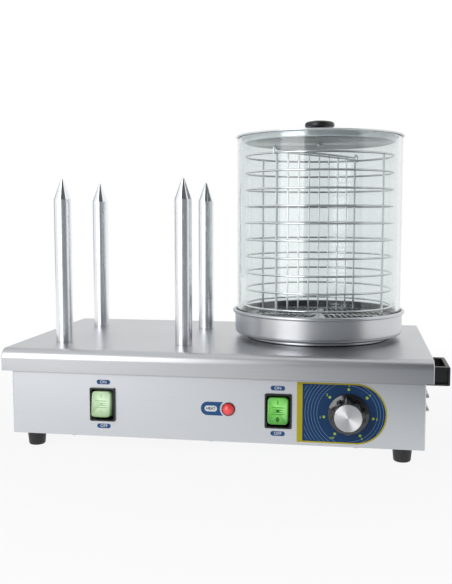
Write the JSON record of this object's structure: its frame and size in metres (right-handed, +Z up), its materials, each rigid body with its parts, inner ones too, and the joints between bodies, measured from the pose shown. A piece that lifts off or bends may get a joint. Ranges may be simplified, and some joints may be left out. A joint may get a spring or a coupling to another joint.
{
  "type": "hot dog machine",
  "caption": "Electric hot dog machine: heated bun spikes beside a lidded glass steamer with a divided wire basket, on a stainless base with rocker switches and a thermostat dial.",
  "frame": {"origin": "middle of the outline seen from above, on the surface the feet stand on", "axes": "+X to the right seen from the controls, along the machine's width; +Y to the back, away from the controls; +Z up"},
  "size_m": [0.5306, 0.2862, 0.379],
  "materials": {
    "brushed_stainless": "brushed",
    "satin_stainless": "satin",
    "polished_stainless": "polished",
    "basket_wire": "bright drawn",
    "zinc_steel": "zinc plated",
    "clear_glass": "clear",
    "black_rubber": "matt",
    "black_plastic": "fine grain",
    "gloss_black": "gloss",
    "green_plastic": "translucent, lit",
    "red_plastic": "translucent",
    "printed_film": "printed, semi-gloss",
    "plain_aluminium": "turned",
    "brass": "plain",
    "ceramic": "matt",
    "wire_cover": "matt"
  },
  "bodies": {
    "base": {"control_panel": "brushed_stainless", "back_panel": "brushed_stainless", "left_side_panel": "brushed_stainless", "right_side_panel": "brushed_stainless", "top_cover": "brushed_stainless", "cover_nuts": "zinc_steel", "bottom_plate": "satin_stainless", "plate_screws": "zinc_steel", "rubber_feet": "black_rubber", "foot_screws": "zinc_steel", "foot_nuts": "zinc_steel", "spike_front_left": "polished_stainless", "spike_back_left": "polished_stainless", "spike_front_right": "polished_stainless", "spike_back_right": "polished_stainless", "spike_heaters": "satin_stainless", "spike_nuts": "zinc_steel", "water_pan": "satin_stainless", "pan_bottom": "satin_stainless", "heating_plate": "plain_aluminium", "heater_clamp": "zinc_steel", "clamp_nut": "zinc_steel", "thermostat_bulb": "brass", "capillary_tube": "brass", "thermostat_case": "black_plastic", "thermostat_screws": "zinc_steel", "dial_film": "printed_film", "left_handle": "black_plastic", "right_handle": "black_plastic", "handle_screws": "zinc_steel", "left_switch_case": "gloss_black", "right_switch_case": "gloss_black", "switch_terminals": "brass", "lamp_holder": "black_plastic", "lamp_lens": "red_plastic", "lamp_nut": "zinc_steel", "cable_gland": "black_plastic", "gland_nut": "black_plastic", "terminal_block": "ceramic", "wiring": "wire_cover"},
    "left_rocker": {"left_rocker": "green_plastic"},
    "right_rocker": {"right_rocker": "green_plastic"},
    "dial": {"dial_knob": "gloss_black", "dial_cap": "plain_aluminium", "thermostat_spindle": "zinc_steel"},
    "glass": {"glass_cylinder": "clear_glass"},
    "basket": {"basket_floor": "satin_stainless", "basket_posts": "basket_wire", "basket_rings": "basket_wire", "basket_divider": "basket_wire", "basket_hooks": "basket_wire"},
    "lid": {"lid_pan": "satin_stainless", "lid_knob": "gloss_black", "lid_screw": "zinc_steel"}
  },
  "joints": [
    {"name": "left_rocker_tilt", "type": "hinge", "parent": "base", "child": "left_rocker", "pos_m": [-0.1234, -0.11895, 0.0526], "axis": [1, 0, 0], "range_deg": [0, 18]},
    {"name": "right_rocker_tilt", "type": "hinge", "parent": "base", "child": "right_rocker", "pos_m": [0.0749, -0.11895, 0.0526], "axis": [1, 0, 0], "range_deg": [0, 18]},
    {"name": "dial_turn", "type": "hinge", "parent": "base", "child": "dial", "pos_m": [0.1503, -0.12195, 0.0526], "axis": [0, 1, 0], "range_deg": [0, 299]},
    {"name": "glass_lift", "type": "slide", "parent": "base", "child": "glass", "axis": [0, 0, 1], "range_m": [0, 0.05]},
    {"name": "basket_lift", "type": "slide", "parent": "glass", "child": "basket", "axis": [0, 0, 1], "range_m": [0, 0.26]},
    {"name": "lid_lift", "type": "slide", "parent": "basket", "child": "lid", "axis": [0, 0, 1], "range_m": [0, 0.15]}
  ]
}
